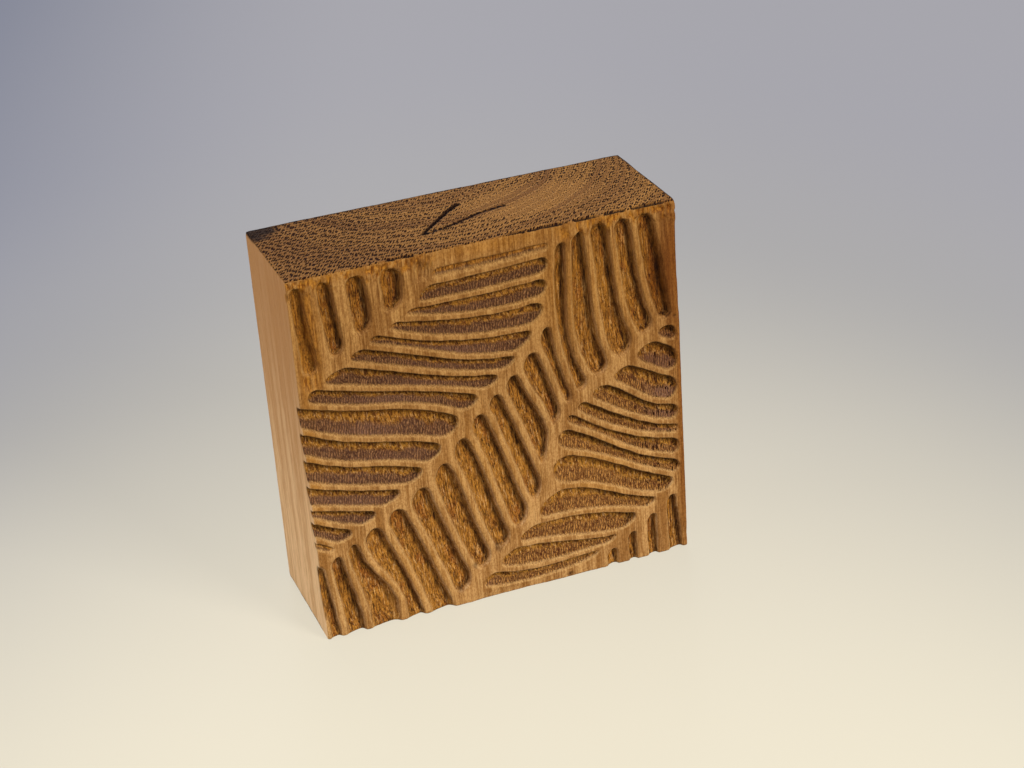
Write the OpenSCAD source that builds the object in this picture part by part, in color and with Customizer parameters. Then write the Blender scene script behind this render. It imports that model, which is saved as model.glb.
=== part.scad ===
// Pattern stamp: one block of oak, stood on end, one face carved with fans of grooves.
// The face looks toward -Y, the grain runs up Z, and the block stands on z = 0,
// centred on the Z axis. All sizes are millimetres.

/* [Block] */
// Width across the carved face
block_w = 60; // [52:0.5:72]
// Height along the grain
block_h = 59.4; // [52:0.1:72]
// Thickness from the carved face to the back
block_t = 21.2; // [14:0.1:30]
// Wear on every long edge of the block
edge_break = 0.3; // [0.1:0.05:0.6]

/* [Carving] */
// Depth of a full groove
groove_deep = 1.8; // [0.8:0.1:3]
// Width of the thin crests left between two grooves
crest_w = 0.9; // [0.5:0.05:1.2]
// Width of the crests between the upright grooves in the two plain corners
corner_crest_w = 1.9; // [1:0.1:2.4]
// Width of the smooth veins that the fans spring from
vein_w = 1.5; // [1:0.1:2]
// Depth of the shallow band near the top edge, as a part of a full groove
band_share = 0.35; // [0.2:0.05:1]
// Depth of the strip that slopes off above the right fan, as a part of a full groove
strip_share = 0.2; // [0.1:0.05:0.5]
// Depth of the short grooves in the lower right corner, as a part of a full groove
corner_share = 0.5; // [0.3:0.05:1]
// Length of a groove's rounded end, as a part of its width there
end_round = 0.5; // [0.3:0.05:0.9]
// Plain strip above the upright grooves
top_margin = 1.3; // [1:0.1:2]
// Plain strip at the right edge, beside the right fan
right_margin = 0.7; // [0.5:0.1:1.2]

/* [Drying cracks] */
// Widest gape of the main crack in the top end
crack_w = 0.6; // [0.3:0.05:0.9]
// Gape of the side crack
side_crack_w = 0.35; // [0.25:0.05:0.5]
// Depth of the cracks at their wide ends
crack_deep = 4; // [2:0.5:8]

/* [Hidden] */

// The pattern is drawn on a square of this side and stretched to the face.
drawn = 60;
// How far a cutter reaches past the wood that it removes.
reach = 0.6;
// How far an open groove runs on past the edge of the face.
run_out = 1.5;

// Veins, as points [x, z] from the lower left corner of the drawn square.
upper_vein = [[0, 43], [5.5, 45], [9.5, 47.9], [12.5, 50], [15.5, 51], [18, 52.7],
    [19.8, 54.6], [21.3, 57.2], [22.3, 60]];
main_vein = [[0, 13], [11, 19.3], [19, 24.5], [25.2, 31.8], [30.9, 36.7], [34, 39.5],
    [37.3, 43], [39.3, 47], [40.2, 55], [40.9, 60]];
side_vein = [[22.9, 0.2], [23.8, 3], [27.3, 6], [31.4, 9.2], [34.4, 12.4], [36.8, 16.5], [38, 25],
    [40, 28.5], [44, 31.6], [51.6, 35.8], [55.2, 38.9], [57, 40.3], [60, 40.5]];
foot_vein = [[41, 0.8], [45, 2.5], [47.5, 4.1], [51.6, 6.6], [54.5, 8.6], [57.3, 10.6],
    [59.9, 13]];

// Rails that the ribs of a fan start and end on.
top_edge = drawn - top_margin + vein_w / 2;
top_rail = [[0, top_edge], [39, top_edge], [40.6, top_edge - 2.4], [42.8, top_edge - 1.6],
    [44, top_edge], [57, top_edge], [59, top_edge - 2.4]];
foot_rail = [[0, 0], [drawn, 0]];
left_rail = concat([[0, 0], [0, 42]], [for (p = upper_vein) p + [p[0] == 0 ? 1.5 : 0, 0]]);
right_edge = drawn - right_margin + vein_w / 2;
right_rail = concat(foot_vein, [[right_edge, 13.1], [right_edge, 41]]);
lower_rail = concat([[0, 0], [22.9, 0]], side_vein);

// Ribs of each fan: [place on the first rail, place on the second rail, bow, sway].
// A place is a height for the ribs that run across and a distance from the left edge
// for those that run down. Bow is the swell at mid length, sway the S shape on top of it.
left_fan = [
    [57.6, 57.9, 0, 0],
    [55.2, 55.8, -0.2, 0],
    [52.1, 52.4, -0.4, 0],
    [50.8, 48.9, -1.25, 0.1],
    [49.6, 44.6, -1.75, 0],
    [47.8, 40.7, -1.1, 0.35],
    [45.6, 38.1, -0.7, 0.25],
    [43, 35.2, 0.2, -0.15],
    [40.3, 32.1, 0.8, -0.5],
    [36, 28.7, -0.45, -0.35],
    [31.5, 25.1, -0.15, -0.35],
    [27, 22.7, -0.4, 0],
    [23.1, 19.9, 0, 0],
    [21, 17.7, -0.35, 0],
    [17.7, 15.4, -0.1, 0],
    [15.5, 14.3, 0, 0]
];
middle_fan = [
    [-1.2, 0.2, 0, 0],
    [1.2, 2.8, 0, 0],
    [4, 6.7, 0.1, -0.2],
    [6.5, 12.4, 0.5, -0.8],
    [10.1, 16.4, 0.25, 0],
    [13.8, 21.2, 0.15, 0],
    [18.2, 24.8, -0.5, 0],
    [21.3, 28.2, 0, 0.3],
    [24.4, 31.3, 0.3, 0.2],
    [27.6, 34.6, 0.1, 0.15],
    [30.4, 36.9, 0.15, 0],
    [33.4, 38, 0.5, -0.4],
    [36.4, 40.9, 0, 0.2],
    [39.1, 42.7, -0.55, 0]
];
upper_fan = [
    [40.4, 42.7, -1.75, 0],
    [42.8, 45.6, -1.9, 0.5],
    [45.4, 49, -0.75, 0.35],
    [49.4, 53.4, -1.05, 0.25],
    [52.9, 56.6, -0.75, 0.2],
    [56.6, 59.2, 0.15, 0],
    [61, 61.5, 0, 0]
];
right_fan = [
    [40.2, 39.7, 0, 0],
    [38.2, 35.1, 0.5, 0],
    [35.2, 30.6, 0, 0.15],
    [33.1, 26.5, -1.1, 0.5],
    [31, 22.5, -1.05, 0.2],
    [29.4, 20.3, -1.6, 0.1],
    [27.5, 16.4, -1, 0.4],
    [23, 12.8, 0.45, 0.35],
    [16.3, 10.3, 0.8, 0.6],
    [11, 8, 1.4, 0],
    [8, 5.7, 0.1, 0.3],
    [5.2, 3.9, -1.1, -0.25],
    [1.9, 2.3, -1.2, 0]
];
top_corner = [
    [-0.9, 0.4, 0, 0],
    [3.2, 4.7, -0.2, 0],
    [7.5, 8.8, -0.2, 0],
    [12.2, 12.9, 0.3, 0],
    [17.8, 17.4, 0.5, 0],
    [21.3, 20.8, 0, 0]
];
foot_corner = [
    [45.1, 45.1, 0, 0],
    [48.9, 48.9, 0, 0],
    [52.2, 52.2, 0, 0],
    [55.7, 55.8, 0, 0],
    [58.9, 60.2, 0, 0]
];

// Cut of the gouge, from its steep wall (-1) to its gentle one (1), as points
// [place, share of the depth]. The two end points stand clear of the wood.
cut = [[-1, 0], [-0.95, 0.25], [-0.68, 0.7], [-0.3, 1], [0.35, 0.66], [0.95, 0.22], [1, 0]];

// Cracks in the top end, as points [x from the left edge, y from the back edge].
crack = [[24, 14], [27.5, 10.2], [30, 7.6], [32.5, 5.4]];
side_crack = [[24, 14], [27, 13.4], [30, 12.3], [34, 10.4], [38.5, 9.5]];

// Point of a rail at a height (across = true) or at a distance from the left edge.
function rail_point(rail, place, across) = across
    ? [lookup(place, [for (p = rail) [p[1], p[0]]]), place]
    : [place, lookup(place, rail)];

// Point of a rib at the share t of its length.
function rib_point(rib, first, second, across, t) = let (
    a = rail_point(first, rib[0], across),
    b = rail_point(second, rib[1], across),
    chord = b - a,
    side = [-chord[1], chord[0]] / norm(chord)
) a + chord * t + side * (4 * rib[2] * t * (1 - t) + rib[3] * sin(360 * t));

// Share of the full section at the distance d from the rounded end of a groove.
function rounding(d, end) = d >= end ? 1 : sqrt(1 - pow(1 - max(d, 0.02 * end) / end, 2));

// Where the rings of a groove sit between its ends t0 and t1. Each end rounds off over
// the share e of the length.
function ring_places(t0, t1, e0, e1, count) = concat(
    [t0 + 0.04 * e0, t0 + 0.25 * e0, t0 + 0.6 * e0],
    [for (i = [0 : count]) t0 + e0 + (t1 - e1 - t0 - e0) * i / count],
    [t1 - 0.6 * e1, t1 - 0.25 * e1, t1 - 0.04 * e1]
);

// Drawn point [x, z] at a depth behind the carved face.
function on_face(p, depth) = [
    p[0] * block_w / drawn - block_w / 2,
    -block_t / 2 + depth,
    p[1] * block_h / drawn
];

// Skin of a solid that runs through equal rings, closed at both ends.
function ring_faces(rings, points) = concat(
    [[for (i = [0 : points - 1]) points - 1 - i]],
    [for (r = [0 : rings - 2], i = [0 : points - 1]) each [
        [(r + 1) * points + i, r * points + i, (r + 1) * points + (i + 1) % points],
        [(r + 1) * points + (i + 1) % points, r * points + i, r * points + (i + 1) % points]
    ]],
    [[for (i = [0 : points - 1]) (rings - 1) * points + i]]
);

// One groove, between two neighbouring ribs of a fan.
module groove(rib_a, rib_b, first, second, across, crest, deep) {
    a0 = rib_point(rib_a, first, second, across, 0);
    b0 = rib_point(rib_b, first, second, across, 0);
    a1 = rib_point(rib_a, first, second, across, 1);
    b1 = rib_point(rib_b, first, second, across, 1);
    spine = (a1 + b1 - a0 - b0) / 2;
    long = norm(spine);
    run = spine / long;
    // The steep wall lies under the upper rib of a groove that runs across, and at the
    // right rib of one that runs down. That also keeps the skin the right way out.
    steep = across ? 1 : -1;
    // Width square to the groove at each end.
    wide0 = abs(cross(run, b0 - a0));
    wide1 = abs(cross(run, b1 - a1));
    open0 = across && a0[0] <= 0.01 && b0[0] <= 0.01;
    open1 = !across && a1[1] <= 0.01 && b1[1] <= 0.01;
    t0 = open0 ? -run_out / long : vein_w / 2 * norm(b0 - a0) / (wide0 * long);
    t1 = open1 ? 1 + run_out / long : 1 - vein_w / 2 * norm(b1 - a1) / (wide1 * long);
    e0 = max(wide0 - crest, 0.6) * end_round / long;
    e1 = max(wide1 - crest, 0.6) * end_round / long;
    places = ring_places(t0, t1, e0, e1, ceil(long / 5) + 1);
    points = [for (t = places) each let (
        a = rib_point(rib_a, first, second, across, t),
        b = rib_point(rib_b, first, second, across, t),
        wide = abs(cross(run, b - a)),
        free = max(wide - crest, 0.2),
        fill = (open0 ? 1 : rounding(t - t0, e0)) * (open1 ? 1 : rounding(t1 - t, e1)),
        half = (b - a) * free / wide / 2 * fill,
        depth = min(deep, 0.85 * free) * fill
    ) [for (c = cut) on_face(
        (a + b) / 2 + half * steep * c[0],
        c[1] == 0 ? -reach : depth * c[1]
    )]];
    polyhedron(points, ring_faces(len(places), len(cut)));
}

module fan(ribs, first, second, across, crest = crest_w, deep = groove_deep) {
    for (i = [0 : len(ribs) - 2]) {
        groove(ribs[i], ribs[i + 1], first, second, across, crest, deep);
    }
}

// Block with its edges broken, from three crossed slabs.
module stock() {
    intersection() {
        linear_extrude(block_h) worn_rectangle(block_w, block_t);
        translate([0, block_t / 2, block_h / 2]) rotate([90, 0, 0])
            linear_extrude(block_t) worn_rectangle(block_w, block_h);
        translate([-block_w / 2, 0, block_h / 2]) rotate([90, 0, 90])
            linear_extrude(block_w) worn_rectangle(block_t, block_h);
    }
}

module worn_rectangle(w, h) {
    c = edge_break;
    polygon([
        [c - w / 2, -h / 2], [w / 2 - c, -h / 2], [w / 2, c - h / 2], [w / 2, h / 2 - c],
        [w / 2 - c, h / 2], [c - w / 2, h / 2], [-w / 2, h / 2 - c], [-w / 2, c - h / 2]
    ]);
}

// Wedge-shaped drying crack that gapes most at the last point of its path.
module drying_crack(path, gape) {
    last = len(path) - 1;
    points = [for (i = [0 : last]) each let (
        before = path[max(i - 1, 0)],
        after = path[min(i + 1, last)],
        run = (after - before) / norm(after - before),
        side = [-run[1], run[0]] * gape * (0.3 + 0.7 * i / last) / 2,
        p = [path[i][0] - block_w / 2, block_t / 2 - path[i][1]],
        spread = [side[0], -side[1]],
        deep = crack_deep * (0.4 + 0.6 * i / last)
    ) [
        [p[0] + spread[0], p[1] + spread[1], block_h + reach],
        [p[0] - spread[0], p[1] - spread[1], block_h + reach],
        [p[0], p[1], block_h - deep]
    ]];
    polyhedron(points, ring_faces(len(path), 3));
}

module stamp_block() {
    color([0.73, 0.55, 0.35])
    difference() {
        stock();
        fan([left_fan[0], left_fan[1]], left_rail, main_vein, true, crest_w, groove_deep * band_share);
        fan([for (i = [1 : 15]) left_fan[i]], left_rail, main_vein, true);
        fan(middle_fan, main_vein, lower_rail, false);
        fan([for (i = [0 : 5]) upper_fan[i]], top_rail, lower_rail, false);
        fan([upper_fan[5], upper_fan[6]], top_rail, lower_rail, false, crest_w, groove_deep * strip_share);
        fan(right_fan, side_vein, right_rail, true);
        fan(top_corner, top_rail, upper_vein, false, corner_crest_w);
        fan(foot_corner, foot_vein, foot_rail, false, corner_crest_w, groove_deep * corner_share);
        drying_crack(crack, crack_w);
        drying_crack(side_crack, side_crack_w);
    }
}

stamp_block();
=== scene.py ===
import math
import bpy
import numpy as np
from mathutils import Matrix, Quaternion, Vector


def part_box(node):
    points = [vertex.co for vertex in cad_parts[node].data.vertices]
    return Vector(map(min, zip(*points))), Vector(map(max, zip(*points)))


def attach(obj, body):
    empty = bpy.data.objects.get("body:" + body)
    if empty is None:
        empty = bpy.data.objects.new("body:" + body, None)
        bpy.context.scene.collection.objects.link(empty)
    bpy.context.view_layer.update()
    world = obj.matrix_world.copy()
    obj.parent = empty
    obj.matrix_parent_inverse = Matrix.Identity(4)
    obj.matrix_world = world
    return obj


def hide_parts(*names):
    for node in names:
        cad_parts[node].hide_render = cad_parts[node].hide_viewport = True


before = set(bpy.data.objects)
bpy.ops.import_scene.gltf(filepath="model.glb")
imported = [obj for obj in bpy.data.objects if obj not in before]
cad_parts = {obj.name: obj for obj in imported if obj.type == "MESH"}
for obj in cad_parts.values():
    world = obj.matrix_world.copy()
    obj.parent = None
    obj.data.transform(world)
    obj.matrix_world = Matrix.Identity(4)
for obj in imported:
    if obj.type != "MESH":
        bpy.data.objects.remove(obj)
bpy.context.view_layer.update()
mm = 0.001

# The camera comes first: place, aim and roll, in millimetres and degrees.
cameraSetup = {
    "place": (-96.7, -294.5, 186.9),
    "aim": (3.405, -7.805, 34.12),
    "roll": -4.30,
    "lens": 79.78,
    "sensor": 36.0,
    "clip": (0.01, 20),  # metres
}


def makeCamera(setup):
    data = bpy.data.cameras.new("camera")
    data.lens = setup["lens"]
    data.sensor_width = setup["sensor"]
    data.clip_start, data.clip_end = setup["clip"]
    camera = bpy.data.objects.new("camera", data)
    bpy.context.scene.collection.objects.link(camera)
    place, aim = Vector(setup["place"]) * mm, Vector(setup["aim"]) * mm
    camera.location = place
    turn = (aim - place).to_track_quat("-Z", "Y")
    roll = Quaternion((0, 0, 1), math.radians(setup["roll"]))
    camera.rotation_mode = "QUATERNION"
    camera.rotation_quaternion = turn @ roll
    bpy.context.scene.camera = camera


makeCamera(cameraSetup)
print("camera placed")

# Block, its wear and the net of points that its skin is built on, in millimetres.
block = {
    "netStep": 0.16,  # between points on the face and at the edges
    "coarse": 4,  # a coarse step on the sides is this many fine steps
    "fineRungs": 8,  # rungs behind the face at which a side turns coarse
    "fineTop": 16.5,  # how far back the top end stays fine, for its cracks
    "wear": 0.26,  # radius of the worn edges
    "wearSwing": (0.12, 0.05),  # how much it changes, slowly and quickly along an edge
    "wearLimits": (0.1, 0.5),  # least and greatest radius
    "saw": 0.035,  # depth of the saw and plane marks on the plain sides
    "mapStep": 0.06,  # step of the map that the carving is read into
    "mapInset": 0.32,  # the broken edges of the solid, which the map leaves out
    "mapRange": (0.02, 5),  # a facet is read if it reaches between these depths
    "carvingReach": 3,  # no groove reaches further back than this
    "cutFrom": 0.03,  # least depth that counts as cut
    "smooth": 0.2,  # how far the gouge smooths the floor of a groove
    "lip": 0.08,  # softness of the crest edges between the grooves that run across
    "softLip": 0.15,  # and between the upright ones
    "around": 0.55,  # width of the mean that a crest stands out from
    "beside": 0.32,  # width of the mean that a crease stands out from
    "floorReach": 1.1,  # how far the floor of a groove is looked for
    "floorBlur": 0.4,  # and how softly it changes from groove to groove
    "fanBlur": 0.3,  # softness of the line where one fan ends and the next begins
    "lowest": 0.62,  # where the cut of the solid is lowest, as a share of its width
    "lean": 0.14,  # share of the width by which the gouge really went nearer its steep wall
    "leanReach": 0.45,  # but never more than this
    "footRise": 0.5,  # share of its depth that a groove loses where it runs out at the foot
    "footReach": 3.0,  # height over which it loses that
    "crackShift": (1.35, 0.8),  # how far left and forward the cracks lie of the solid's
    "crackRag": 0.06,  # how far their edges wander
    "crackSpread": 0.14,  # softness of the dark edges of a crack
    "crackBlur": 0.03,  # softness of the painted shade at the edges of a crack
    "crackDepth": 2.2,  # a crack is no deeper than this
    "splitDepth": 0.25,  # depth of the splits behind the front top edge
}
low, high = (np.array(corner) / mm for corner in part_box("stamp_block"))
wide, thick, tall = high - low


# Gentle noise from -1 to 1, the same on each run: the corners of each cell get a value from
# their own numbers, mixed up, and the values are blended smoothly between them.
def latticeNoise(points, cell, seed):
    scaled = points / np.asarray(cell, float) + seed * 17.31
    base = np.floor(scaled).astype(np.int64)
    part = scaled - base
    part = part * part * (3 - 2 * part)
    total = np.zeros(len(points))
    for corner in range(8):
        offset = np.array([corner & 1, corner >> 1 & 1, corner >> 2 & 1])
        cellId = base + offset
        mixed = cellId[:, 0] * 73856093 ^ cellId[:, 1] * 19349663 ^ cellId[:, 2] * 83492791
        mixed = (mixed ^ seed * 2654435) & 0x7FFFFFFF
        mixed = (mixed ^ mixed >> 13) * 1274126177 & 0x7FFFFFFF
        mixed = (mixed ^ mixed >> 16) & 0xFFFF
        share = np.prod(np.where(offset, part, 1 - part), axis=1)
        total += share * (mixed / 32767.5 - 1)
    return total


# Soft step from 0 at the start to 1 at the end.
def ease(value, start, end):
    share = np.clip((value - start) / (end - start), 0, 1)
    return share * share * (3 - 2 * share)


# 1 inside a zone, with a soft rise before it and a soft fall behind it.
def band(value, begins, full, fades, ended):
    return ease(value, begins, full) * (1 - ease(value, fades, ended))


# Blurs a map by a width in millimetres.
def blurred(values, width):
    sigma = width / block["mapStep"]
    reach = int(math.ceil(3 * sigma))
    weights = np.exp(-0.5 * (np.arange(-reach, reach + 1) / sigma) ** 2)
    weights /= weights.sum()
    for axis in (0, 1):
        padding = [(reach, reach) if a == axis else (0, 0) for a in (0, 1)]
        padded = np.pad(values, padding, mode="edge")
        count = values.shape[axis]
        values = sum(
            w * np.take(padded, np.arange(k, k + count), axis=axis)
            for k, w in enumerate(weights)
        )
    return values


# Reads one side of the solid into a map of depths below its plane.
def readDepths(corners, across, along, depth, size):
    inset = block["mapInset"]
    columns, rows = (
        np.clip(np.linspace(0, s, int(round(s / block["mapStep"])) + 1), inset, s - inset)
        for s in size
    )
    depths = np.zeros((len(rows), len(columns)))
    a, b, d = across(corners), along(corners), depth(corners)
    # A facet is a corner and the two edges that leave it.
    (a1, a2), (b1, b2), (d1, d2) = ((v[:, 1] - v[:, 0], v[:, 2] - v[:, 0]) for v in (a, b, d))
    turn = a1 * b2 - a2 * b1
    shallow, deep = block["mapRange"]
    carved = (d.max(1) > shallow) & (d.min(1) < deep) & (np.abs(turn) > 1e-7)
    tiny = 1e-6
    for i in np.nonzero(carved)[0]:
        c0, c1 = np.searchsorted(columns, [a[i].min() - tiny, a[i].max() + tiny])
        r0, r1 = np.searchsorted(rows, [b[i].min() - tiny, b[i].max() + tiny])
        if c1 <= c0 or r1 <= r0:
            continue
        pa = columns[c0:c1][None, :] - a[i, 0]
        pb = rows[r0:r1][:, None] - b[i, 0]
        s = (pa * b2[i] - pb * a2[i]) / turn[i]
        t = (pb * a1[i] - pa * b1[i]) / turn[i]
        inside = (s > -1e-4) & (t > -1e-4) & (s + t < 1.0001)
        level = d[i, 0] + s * d1[i] + t * d2[i]
        part = depths[r0:r1, c0:c1]
        part[inside] = np.maximum(part[inside], level[inside])
    return depths


# Smooths the facets away inside the carved parts and leaves their edges where they are: a
# plane is fitted round each place to the squares of the depths, the nearest counting most.
def smoothInside(depths, width):
    steady, most = 0.02, 1.4  # keep the fit calm where few places count
    mask = (depths > block["cutFrom"]).astype(float)
    rows, columns = np.indices(depths.shape, dtype=float) * block["mapStep"] / width
    value = depths ** 2 * mask
    one, r, c, v = (blurred(m, width) for m in (mask, mask * rows, mask * columns, value))
    one = np.maximum(one, 1e-6)
    r, c, v = r / one, c / one, v / one
    rr = blurred(mask * rows * rows, width) / one - r * r + steady
    cc = blurred(mask * columns * columns, width) / one - c * c + steady
    rc = blurred(mask * rows * columns, width) / one - r * c
    rv = blurred(value * rows, width) / one - r * v
    cv = blurred(value * columns, width) / one - c * v
    flat = rr * cc - rc * rc
    slopeR = (rv * cc - cv * rc) / flat
    slopeC = (cv * rr - rv * rc) / flat
    level = v + slopeR * (rows - r) + slopeC * (columns - c)
    return np.sqrt(np.clip(level, 0, most * v)) * mask


# Leans each cut toward its steep wall, along the rows of the map.
def leaned(depths):
    rows, columns = depths.shape
    inside = depths > block["cutFrom"]
    place = np.broadcast_to(np.arange(columns), depths.shape)
    first = np.maximum.accumulate(np.where(inside, -1, place), axis=1)
    last = np.minimum.accumulate(np.where(inside, columns, place)[:, ::-1], axis=1)[:, ::-1]
    width = np.maximum(last - first, 2)
    share = (place - first) / width
    lowest = block["lowest"]
    leant = lowest + np.minimum(block["lean"], block["leanReach"] / block["mapStep"] / width)
    before = share / leant * lowest
    behind = lowest + (share - leant) / (1 - leant) * (1 - lowest)
    source = np.where(share < leant, before, behind)
    source = np.clip(first + source * width, 0, columns - 1.001)
    left = source.astype(int)
    part = source - left
    row = np.arange(rows)[:, None]
    moved = depths[row, left] * (1 - part) + depths[row, left + 1] * part
    return np.where(inside, moved, depths)


# Greatest depth within a reach above or below each place: the floor of its groove.
def deepestNear(depths):
    rows = int(block["floorReach"] / block["mapStep"])
    padded = np.pad(depths, [(rows, rows), (0, 0)])
    deepest = depths
    for shift in range(0, 2 * rows + 1, 2):
        deepest = np.maximum(deepest, padded[shift:shift + len(depths)])
    return deepest


# Reads a map at places between its points.
def sample(values, a, b):
    step = block["mapStep"]
    rows, columns = values.shape
    x = np.clip(a / step, 0, columns - 1.001)
    y = np.clip(b / step, 0, rows - 1.001)
    i, j = x.astype(int), y.astype(int)
    u, v = x - i, y - j
    lower = values[j, i] * (1 - u) + values[j, i + 1] * u
    upper = values[j + 1, i] * (1 - u) + values[j + 1, i + 1] * u
    return lower * (1 - v) + upper * v


# Corners of the triangles of a solid, in millimetres.
def solidCorners(node):
    mesh = node.data
    mesh.calc_loop_triangles()
    places = np.empty(len(mesh.vertices) * 3)
    mesh.vertices.foreach_get("co", places)
    order = np.empty(len(mesh.loop_triangles) * 3, dtype=np.int32)
    mesh.loop_triangles.foreach_get("vertices", order)
    return places.reshape(-1, 3)[order.reshape(-1, 3)] / mm


corners = solidCorners(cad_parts["stamp_block"])
normals = np.cross(corners[:, 1] - corners[:, 0], corners[:, 2] - corners[:, 0])
normals /= np.maximum(np.linalg.norm(normals, axis=1), 1e-9)[:, None]
# The carving is what looks forward, and the cracks are what looks up behind it.
faceDepths = readDepths(
    corners[normals[:, 1] < -0.01],
    lambda p: p[..., 0] - low[0], lambda p: p[..., 2] - low[2], lambda p: p[..., 1] - low[1],
    (wide, tall))
behindCarving = corners[..., 1].min(1) > low[1] + block["carvingReach"]
crackDepths = readDepths(
    corners[(normals[:, 2] > 0.01) & behindCarving],
    lambda p: p[..., 0] - low[0], lambda p: p[..., 1] - low[1], lambda p: high[2] - p[..., 2],
    (wide, thick))
print("carving read", faceDepths.shape, round(float(faceDepths.max()), 2))

# The veins that part the fans, in millimetres from the lower left corner of the face.
veins = {
    "main": [[0, 13], [11, 19.3], [19, 24.5], [25.2, 31.8], [30.9, 36.7], [34, 39.5], [37.3, 43],
             [39.3, 47], [40.2, 55], [40.9, 60]],
    "side": [[22.9, 0], [27.3, 6], [31.4, 9.2], [34.4, 12.4], [36.8, 16.5], [38, 25], [40, 28.5],
             [44, 31.6], [51.6, 35.8], [57, 40.3], [60, 40.5]],
    "upper": [[0, 43], [5.5, 45], [9.5, 47.9], [12.5, 50], [18, 52.7], [21.3, 57.2], [22.3, 60]],
    "foot": [[41, 0], [47.5, 4.1], [54.5, 8.6], [60, 13]],
}


# 1 where the grooves run across the grain, in the left and right fans, and 0 elsewhere,
# then the same for the right fan alone.
def fanMaps():
    rows, columns = faceDepths.shape
    x, z = np.meshgrid(np.linspace(0, wide, columns), np.linspace(0, tall, rows))
    heights = {key: np.interp(x, *np.transpose(path)) for key, path in veins.items()}
    starts = {key: path[0][0] for key, path in veins.items()}
    ends = {key: path[-1][0] for key, path in veins.items()}
    left = (z > heights["main"]) & (x < ends["main"])
    left &= (z < heights["upper"]) | (x > ends["upper"])
    right = (z < heights["side"]) & (x > starts["side"])
    right &= (z > heights["foot"]) | (x < starts["foot"])
    return [blurred(fan.astype(float), block["fanBlur"]) for fan in (left | right, right)]


acrossShares, rightShares = fanMaps()
faceDepths = leaned(faceDepths) * (1 - acrossShares) + leaned(faceDepths.T).T * acrossShares
faceDepths = smoothInside(faceDepths, block["smooth"])
floorDepths = blurred(deepestNear(faceDepths), block["floorBlur"])
sideFloors = blurred(deepestNear(faceDepths.T).T, block["floorBlur"])
crispDepths, softDepths, meanDepths, besideDepths = (
    blurred(faceDepths, block[key]) for key in ("lip", "softLip", "around", "beside"))
# Painted shade inside the cracks of the top end and along their edges.
cracked = (crackDepths > 0.05).astype(float)
crackMap = ease(blurred(cracked, block["crackSpread"]), 0.008, 0.09)
crackDepths = blurred(crackDepths, block["crackBlur"])
print("carving smoothed")

# Small marks on the carved face, in millimetres from its lower left corner:
# [across, up, radius across, radius up, depth, how dark].
marks = {
    "knot": [28.3, 8.4, 0.55, 0.7, 0.5, 0.9],
    "pitByKnot": [21.8, 2.6, 0.4, 0.5, 0.35, 0.7],
    "pitAboveKnot": [24.3, 6.2, 0.45, 0.4, 0.3, 0.8],
    "pitHigh": [37.6, 50.7, 0.6, 0.6, 0.3, 0.6],
    "pitMiddle": [36.2, 47.4, 0.6, 0.5, 0.25, 0.5],
    "hollowTop": [20.7, 56.4, 0.8, 1.3, 0.5, 0.25],
    "holeRight": [59.2, 40.6, 0.22, 0.22, 0.4, 0.8],
    "darkRight": [57.2, 47.5, 0.45, 3.4, 0.2, 0.6],
    "chipFoot": [39.9, 0.5, 0.5, 0.35, 0.4, 0.9],
    "nickLeft": [0.1, 12.5, 0.35, 0.3, 0.5, 0.8],
}

# What the gouge and the plane left on the face, in millimetres. A zone has where it begins
# and where it is full, and then where it starts to fade and where it has ended.
gouge = {
    "wobble": 0.07,  # how far the edges of the cuts wander
    "slopeStep": 0.15,  # distance over which the slope of a wall is taken
    "cornerAcross": (42, 44),  # where the short grooves at the lower right went deeper
    "cornerUp": (10, 13),
    "cornerDeeper": 0.45,
    "ledgeEdge": (0.74, 0.86),  # shares of a groove's depth between which the second pass ends
    "ledge": 0.14,  # step between the two passes
    "strokes": (0.06, 0.08),  # depths of the short strokes and the long ones
    "fibres": (0.05, 0.06),
    "hatch": 0.06,
    "tornUp": (56.2, 57.6, 58.8, 59.3),  # torn ends of the upright grooves
    "tufts": 0.4,
    "edgeAcross": (0.6, 1.2, 3.0, 4.4),  # rough strip down the left edge
    "edgeUp": (40, 43, 56, 58),
    "edgeDepth": (0.22, 0.2),  # mean, and how much it changes
    "stripAcross": (19, 24, 38, 41),  # rough strip along the top edge
    "stripUp": (56.6, 57.4),
    "stripDepth": 0.14,
    "crestDepth": (0.02, 0.018),  # mean, and how much it changes
    "footAcross": (23, 26, 33, 36),  # shallow dent at the foot
    "footUp": (0.3, 1.5),
    "footDepth": 0.35,
    "lowAcross": (56.3, 58.5),  # the lower right corner, cut low
    "lowUp": (2, 4.5),
    "lowDepth": 0.3,
}


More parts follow.
